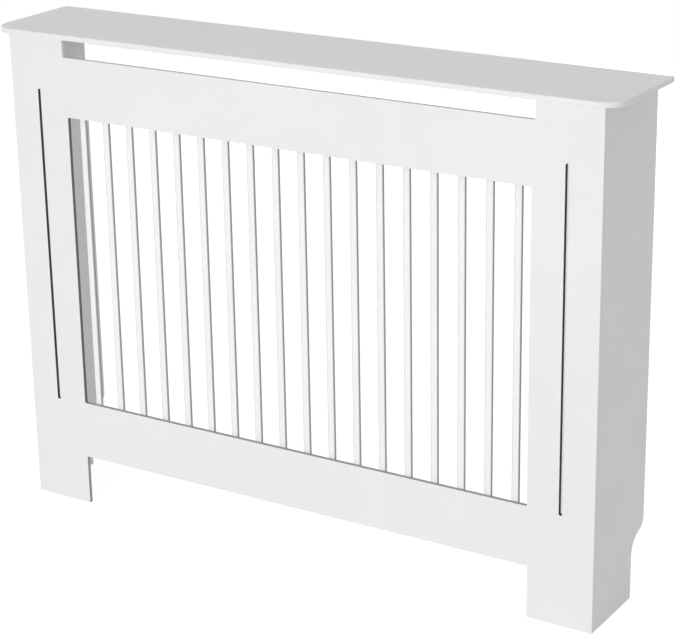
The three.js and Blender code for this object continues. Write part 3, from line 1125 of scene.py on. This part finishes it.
@dataclass
class CamFittings:
    """The cam discs that turn in the boards, and the bolts that they hold."""

    finishes: Finishes
    radius: float = 6 * MM
    face: float = 4.7 * MM
    back: float = -3.3 * MM
    edge_radius: float = 0.3 * MM
    cavity_radius: float = 4.3 * MM
    cavity_half: float = 2.6 * MM
    cavity_sides: int = 40
    slot_half: float = 1.5 * MM
    slot_sides: int = 24
    slot_steps: int = 32
    entry_radius: float = 2.5 * MM
    cross_length: float = 7 * MM
    cross_width: float = 1.4 * MM
    cross_depth: float = 1.4 * MM
    arrow_x: float = 4.75 * MM
    arrow_radius: float = 0.8 * MM
    arrow_depth: float = 0.4 * MM
    bolt_end: Pair = (-1.7 * MM, 1.6 * MM)
    head_half: float = 1.2 * MM
    head_radius: float = 2.1 * MM
    neck_start: float = 1.7 * MM
    neck_end: float = 8.0 * MM
    neck_radius: float = 1.2 * MM
    shank_start: float = 8.5 * MM
    shank_radius: float = 2.8 * MM
    root_radius: float = 1.9 * MM
    crest_radius: float = 2.3 * MM
    tip_radius: float = 1.4 * MM
    bolt_sides: int = 28

    def neck_slot(self) -> Piece:
        """Sweep the cutter of the slot that lets the bolt's neck pass as the disc turns.

        Returns:
            A half ring, open towards -Y, with its two ends on the X axis.
        """
        put_down_everything()
        inner, outer = self.cavity_radius - MM, self.radius + MM
        bpy.ops.mesh.primitive_plane_add(
            size=1.0, location=((inner + outer) / 2, 0, 0), rotation=(math.pi / 2, 0, 0)
        )
        bpy.context.object.scale = (outer - inner, 2 * self.slot_half, 1)
        ring = settle(bpy.context.object, "cutter")
        with edit_mode(ring, Pick.FACE):
            bpy.ops.mesh.spin(
                steps=self.slot_steps, angle=-math.pi, center=(0, 0, 0), axis=Z_AXIS, dupli=False
            )
        weld(ring)
        return ring

    def build_disc(self) -> Piece:
        """Shape one cam disc: its cavity, slot, entry, cross recess and arrow.

        Returns:
            The disc on its own axes: its face at +Z and the bolt along +X.
        """
        bottom, thickness = Z_AXIS * self.back, self.face - self.back
        disc = rod(bottom, Z_AXIS, thickness, self.radius, CAM_SIDES, "cam_disc_master")
        ease_edges(disc, self.edge_radius, 2)
        middle, reach = Vector((0, 0, 0)), self.radius + MM
        floor, above = self.face - self.cross_depth, self.face + MM
        long, wide = self.cross_length / 2, self.cross_width / 2
        low, tall = Z_AXIS * -self.cavity_half, 2 * self.cavity_half
        arrow = Vector((self.arrow_x, 0, self.face - self.arrow_depth))
        cutters = [
            rod(low, Z_AXIS, tall, self.cavity_radius, self.cavity_sides),
            self.neck_slot(),
            rod(middle, X_AXIS, reach, self.slot_half, self.slot_sides),
            rod(middle, -X_AXIS, reach, self.entry_radius),
            block((-long, -wide, floor), (long, wide, above)),
            block((-wide, -long, floor), (wide, long, above)),
            rod(arrow, Z_AXIS, MM, self.arrow_radius, sides=3),
        ]
        carve(disc, cutters)
        weld(disc)
        smooth(disc, self.finishes.zinc)
        return disc

    def build_bolt(self) -> Piece:
        """Turn one bolt: head, neck, shank and thread.

        Returns:
            The bolt on the fitting's axes: its head in the disc and its thread along +X.
        """
        root, crest = self.root_radius, self.crest_radius
        profile = (0, root), (0.35 * MM, crest), (0.55 * MM, crest), (0.9 * MM, root)
        rings = [
            (-self.head_half, self.head_radius),
            (self.head_half, self.head_radius),
            (self.neck_start, self.neck_radius),
            (self.neck_end, self.neck_radius),
            (self.shank_start, self.shank_radius),
            (BOLT_REACH, self.shank_radius),
            (BOLT_REACH, root),
            *thread(BOLT_REACH + 0.4 * MM, 1.1 * MM, 4, profile),
            (BOLT_REACH + BOLT_THREAD, self.tip_radius),
        ]
        steel = self.finishes.steel
        return turned_piece("cam_bolt_master", self.bolt_end, rings, self.bolt_sides, steel)

    def build(self) -> None:
        """Make one disc and one bolt, and put copies of both in all twelve places."""
        disc, bolt = self.build_disc(), self.build_bolt()
        for place in fitting_places():
            label, placing = place.label, place.placing()
            turning = copy_of(disc, f"fitting_disc_{label}", placing)
            deliver(turning, [f"cam_disc_{label}"], f"cam_{label}")
            fixed = copy_of(bolt, f"fitting_bolt_{label}", placing)
            deliver(fixed, [f"cam_bolt_{label}"])
        for master in (disc, bolt):
            bpy.data.objects.remove(master, do_unlink=True)


@dataclass
class Dowels:
    """The six fluted dowels that line the boards up."""

    finishes: Finishes
    radius: float = 2.5 * MM
    flute_depth: float = 0.25 * MM
    bevel: float = 0.7 * MM
    sides: int = 36
    flute_sides: int = 3

    def in_flute(self, end: Vector) -> bool:
        """Say whether a corner of the dowel's outside is one of every third round it."""
        turn = round(math.atan2(end.z, end.y) * self.sides / (2 * math.pi))
        return turn % self.flute_sides == 0 and math.hypot(end.y, end.z) > self.radius - 0.1 * MM

    def build_master(self) -> Piece:
        """Shape one dowel: bevelled ends and straight flutes.

        Returns:
            The dowel along +X, with its joint line at the origin.
        """
        start, end = -DOWEL_SHORT, DOWEL_LENGTH - DOWEL_SHORT
        narrow = self.radius - self.bevel
        rings = (start + self.bevel, self.radius), (end - self.bevel, self.radius), (end, narrow)
        beech = self.finishes.beech
        dowel = turned_piece("dowel_master", (start, narrow), rings, self.sides, beech)
        factor = 1 - self.flute_depth / self.radius
        with edit_mode(
            dowel,
            Pick.EDGE,
            lambda a, b: abs(a.x - b.x) > 2 * self.radius and self.in_flute(a) and self.in_flute(b),
        ):
            bpy.ops.transform.resize(value=(1, factor, factor), center_override=(0, 0, 0))
        return dowel

    def build(self) -> None:
        """Make one dowel and put copies of it in all six places."""
        master = self.build_master()
        for side_name, side in SIDES:
            x = side * SIDE_MIDDLE_X
            places = [
                (f"front_{level}_{side_name}", Vector((x, FRONT_BACK_Y, height)), Y_AXIS)
                for level, height in FRONT_DOWEL_HEIGHTS
            ]
            shelf_place = Vector((x, SIDE_FRONT_Y + SHELF_DOWEL_DEPTH, SHELF_UNDERSIDE))
            places.append((f"shelf_{side_name}", shelf_place, -Z_AXIS))
            for label, place, way in places:
                turn = X_AXIS.rotation_difference(way).to_matrix().to_4x4()
                dowel = copy_of(master, f"fluted_dowel_{label}", Matrix.Translation(place) @ turn)
                deliver(dowel, [f"dowel_{label}"])
        bpy.data.objects.remove(master, do_unlink=True)


@dataclass
class WallBrackets:
    """The two steel angles that hold the cover to the wall, each with its screw."""

    finishes: Finishes
    leg: float = 25 * MM
    thickness: float = 2 * MM
    half_height: float = 10 * MM
    hole_radius: float = 2.4 * MM
    outer_bend: float = 2.6 * MM
    inner_bend: float = 0.9 * MM
    tip_radius: float = 4 * MM
    bend_segments: int = 8
    edge_radius: float = 0.2 * MM
    screw_end: Pair = (0, 1.9 * MM)
    dome: tuple[Pair, Pair] = ((0.35 * MM, 3.0 * MM), (0.9 * MM, 3.6 * MM))
    rim_start: float = 1.4 * MM
    head_height: float = 2.2 * MM
    head_radius: float = 3.8 * MM
    neck_length: float = 0.9 * MM
    root_radius: float = 1.25 * MM
    crest_radius: float = 1.7 * MM
    tip_start: float = 7.6 * MM
    screw_length: float = 9 * MM
    point_radius: float = 0.2 * MM
    screw_sides: int = 28
    recess_long: float = 1.9 * MM
    recess_wide: float = 0.45 * MM
    recess_depth: float = 1.2 * MM

    def build_angle(self) -> Piece:
        """Bend the left angle from a strip, round its tips and drill it.

        Returns:
            The left angle in its place.
        """
        outer_x = -(SIDE_INNER_X - GAP)
        inner_x, inner_y = outer_x + self.thickness, WALL_Y - self.thickness
        tip_x, tip_y = outer_x + self.leg, WALL_Y - self.leg
        low, high = BRACKET_MIDDLE_Z - self.half_height, BRACKET_MIDDLE_Z + self.half_height
        angle = block((outer_x, tip_y, low), (inner_x, inner_y, high), "bracket_angle_left")
        draws = (
            (lambda middle, normal: normal.y > 0.9, (0, self.thickness, 0)),
            (
                lambda middle, normal: normal.x > 0.9 and middle.y > inner_y,
                (self.leg - self.thickness, 0, 0),
            ),
        )
        for test, step in draws:
            with edit_mode(angle, Pick.FACE, test):
                bpy.ops.mesh.extrude_region_move(TRANSFORM_OT_translate={"value": step})
        tips = [edge_at(y=tip_y, z=level) for level in (low, high)]
        tips += [edge_at(x=tip_x, z=level) for level in (low, high)]
        segments = self.bend_segments
        round_edges(angle, self.outer_bend, segments, edge_at(x=outer_x, y=WALL_Y))
        round_edges(angle, self.inner_bend, segments // 2, edge_at(x=inner_x, y=inner_y))
        round_edges(angle, self.tip_radius, segments, lambda a, b: any(at(a, b) for at in tips))
        side_hole = outer_x, WALL_Y - BRACKET_HOLE_INSET, BRACKET_MIDDLE_Z
        wall_hole = outer_x + BRACKET_HOLE_INSET, inner_y, BRACKET_MIDDLE_Z
        through = self.thickness + MM
        holes = (side_hole, X_AXIS), (wall_hole, Y_AXIS)
        carve(angle, [drill(mouth, way, through, self.hole_radius) for mouth, way in holes])
        ease_edges(angle, self.edge_radius, 2)
        smooth(angle, self.finishes.steel)
        return angle

    def build_screw(self) -> Piece:
        """Turn one pan-head screw and sink its cross recess.

        Returns:
            The screw along +X, with the top of its head at the origin.
        """
        neck, root, crest = self.head_height, self.root_radius, self.crest_radius
        profile = (0, root), (0.45 * MM, root), (0.75 * MM, crest), (0.85 * MM, crest)
        rings = [
            *self.dome,
            (self.rim_start, self.head_radius),
            (neck, self.head_radius),
            (neck, crest),
            (neck + self.neck_length, crest),
            *thread(neck + 1.0 * MM, 1.2 * MM, 5, profile, taper=0.06),
            (neck + self.tip_start, root * 0.8),
            (neck + self.screw_length, self.point_radius),
        ]
        steel = self.finishes.steel
        screw = turned_piece("screw_master", self.screw_end, rings, self.screw_sides, steel)
        long, wide, depth = self.recess_long, self.recess_wide, self.recess_depth
        arms = (wide, long), (long, wide)
        carve(screw, [block((-MM, -y, -z), (depth, y, z)) for y, z in arms])
        smooth(screw)
        return screw

    def build(self) -> None:
        """Make the left angle and one screw, and place both sides' copies."""
        left = self.build_angle()
        right = copy_of(left, "bracket_angle_right", MIRRORED)
        weld(right)
        smooth(right)
        deliver(left, ["wall_bracket_left"])
        deliver(right, ["wall_bracket_right"])
        screw = self.build_screw()
        head_x = SIDE_INNER_X - GAP - (self.thickness + GAP + self.head_height)
        for side_name, side in SIDES:
            place = side * head_x, WALL_Y - BRACKET_HOLE_INSET, BRACKET_MIDDLE_Z
            turn = Matrix.Rotation(0 if side > 0 else math.pi, 4, "Z")
            placing = Matrix.Translation(place) @ turn
            driven = copy_of(screw, f"bracket_pan_screw_{side_name}", placing)
            deliver(driven, [f"bracket_screw_{side_name}"])
        bpy.data.objects.remove(screw, do_unlink=True)


# Studio


@dataclass(frozen=True)
class SoftBox:
    """One rectangular soft lamp that faces a point of the cover."""

    name: str
    place: Triple
    aim: Triple
    width: float
    height: float
    power: float

    def hang(self) -> None:
        """Hang the lamp and turn it to its aim."""
        lamp = bpy.data.lights.new(self.name, "AREA")
        lamp.shape = "RECTANGLE"
        lamp.size = self.width
        lamp.size_y = self.height
        lamp.energy = self.power
        holder = bpy.data.objects.new(self.name, lamp)
        bpy.context.scene.collection.objects.link(holder)
        holder.location = self.place
        way = Vector(self.aim) - Vector(self.place)
        holder.rotation_euler = way.to_track_quat("-Z", "Y").to_euler()


def seen_or_lit(tree: Tree, surface: Socket, seen: Socket, lit: Socket) -> None:
    """Show one shader to the camera, in mirror images and through glass, and light with another.

    Args:
        tree: The nodes of the world or of the floor's material.
        surface: The output's socket.
        seen: The shader that is seen.
        lit: The shader that all other rays meet.
    """
    path = add_node(tree, "ShaderNodeLightPath")
    direct = path.outputs["Is Camera Ray"]
    for kind in ("Is Glossy Ray", "Is Transmission Ray"):
        either = add_node(tree, "ShaderNodeMath")
        either.operation = "MAXIMUM"
        tree.links.new(direct, either.inputs[0])
        tree.links.new(path.outputs[kind], either.inputs[1])
        direct = either.outputs[0]
    mix = add_node(tree, "ShaderNodeMixShader")
    for source, socket in zip((direct, lit, seen), mix.inputs):
        tree.links.new(source, socket)
    tree.links.new(mix.outputs[0], surface)


@dataclass(frozen=True)
class Studio:
    """A plain pale floor, plain soft light and the photograph's camera."""

    ambient: float = 0.52
    floor_half: float = 6.0
    floor_level: float = -0.2 * MM
    floor_lit_tone: float = 0.78
    floor_seen_tone: float = 0.46
    floor_glow: float = 0.76
    camera_place: Triple = (1.72205, -2.67275, 1.51662)
    camera_yaw: float = 32.164
    camera_pitch: float = 19.692
    camera_roll: float = -0.986
    camera_lens: float = 112.73
    camera_reach: float = 50.0

    def lamps(self) -> tuple[SoftBox, ...]:
        """List the lamps."""
        return (
            SoftBox("key_box", (-0.2, -4.4, 0.42), (0.0, 0.0, 0.42), 2.6, 0.8, 84.5),
            SoftBox("fill_box", (3.4, -0.9, 0.8), (0.0, 0.0, 0.4), 2.2, 2.2, 7.2),
            SoftBox("overhead_box", (0.2, -0.4, 3.4), (0.0, 0.0, 0.8), 2.4, 1.6, 10.9),
            SoftBox("back_box", (-1.0, 3.4, 0.42), (0.0, 0.0, 0.42), 2.4, 0.7, 24.0),
        )

    def light_world(self) -> None:
        """Fill the room with even light, white where the camera looks at it."""
        world = bpy.data.worlds.new("studio_room")
        bpy.context.scene.world = world
        tree, surface = bare_tree(world, "ShaderNodeOutputWorld")
        room = add_node(tree, "ShaderNodeBackground", Color=WHITE, Strength=self.ambient)
        white = add_node(tree, "ShaderNodeBackground", Color=WHITE, Strength=1.0)
        seen_or_lit(tree, surface, white.outputs[0], room.outputs[0])

    def lay_floor(self) -> None:
        """Lay the floor, white to the camera but for the cover's faint shadow."""
        put_down_everything()
        level = 0, 0, self.floor_level
        bpy.ops.mesh.primitive_plane_add(size=2 * self.floor_half, location=level)
        floor = settle(bpy.context.object, "studio_floor")
        material = bpy.data.materials.new("pale_floor")
        tree, surface = bare_tree(material, "ShaderNodeOutputMaterial")
        lit, seen = (
            add_node(tree, "ShaderNodeBsdfDiffuse", Color=(tone, tone, tone, 1.0))
            for tone in (self.floor_lit_tone, self.floor_seen_tone)
        )
        glow = add_node(tree, "ShaderNodeEmission", Color=WHITE, Strength=self.floor_glow)
        both = add_node(tree, "ShaderNodeAddShader")
        tree.links.new(seen.outputs[0], both.inputs[0])
        tree.links.new(glow.outputs[0], both.inputs[1])
        seen_or_lit(tree, surface, both.outputs[0], lit.outputs[0])
        floor.data.materials.append(material)

    def place_camera(self) -> None:
        """Put the camera where the photograph was taken from."""
        angles = self.camera_yaw, self.camera_pitch, self.camera_roll
        yaw, pitch, roll = (math.radians(angle) for angle in angles)
        ahead = -math.sin(yaw) * math.cos(pitch), math.cos(yaw) * math.cos(pitch)
        forward = Vector((*ahead, -math.sin(pitch)))
        level = Vector((math.cos(yaw), math.sin(yaw), 0))
        upright = level.cross(forward)
        right = level * math.cos(roll) + upright * math.sin(roll)
        up = upright * math.cos(roll) - level * math.sin(roll)
        camera = bpy.data.cameras.new("photo_camera")
        camera.sensor_fit = "HORIZONTAL"
        camera.sensor_width = 36.0
        camera.lens = self.camera_lens
        camera.clip_end = self.camera_reach
        holder = bpy.data.objects.new("photo_camera", camera)
        bpy.context.scene.collection.objects.link(holder)
        turn = Matrix((right, up, -forward)).transposed().to_4x4()
        holder.matrix_world = Matrix.Translation(self.camera_place) @ turn
        bpy.context.scene.camera = holder

    def set_up(self) -> None:
        """Set up the light, the floor and the camera."""
        bpy.context.scene.view_settings.view_transform = "Standard"
        self.light_world()
        self.lay_floor()
        for lamp in self.lamps():
            lamp.hang()
        self.place_camera()


def main() -> None:
    """Build the cover piece by piece and set up the studio."""
    logging.basicConfig(level=logging.INFO, format="%(name)s: %(message)s")
    finishes = Finishes.mixed()
    boards = TopShelf, FrontPanel, SidePanels, BackRail
    for part in (*boards, Grille, CamFittings, Dowels, WallBrackets):
        part(finishes).build()
    Studio().set_up()


if __name__ == "__main__":
    main()
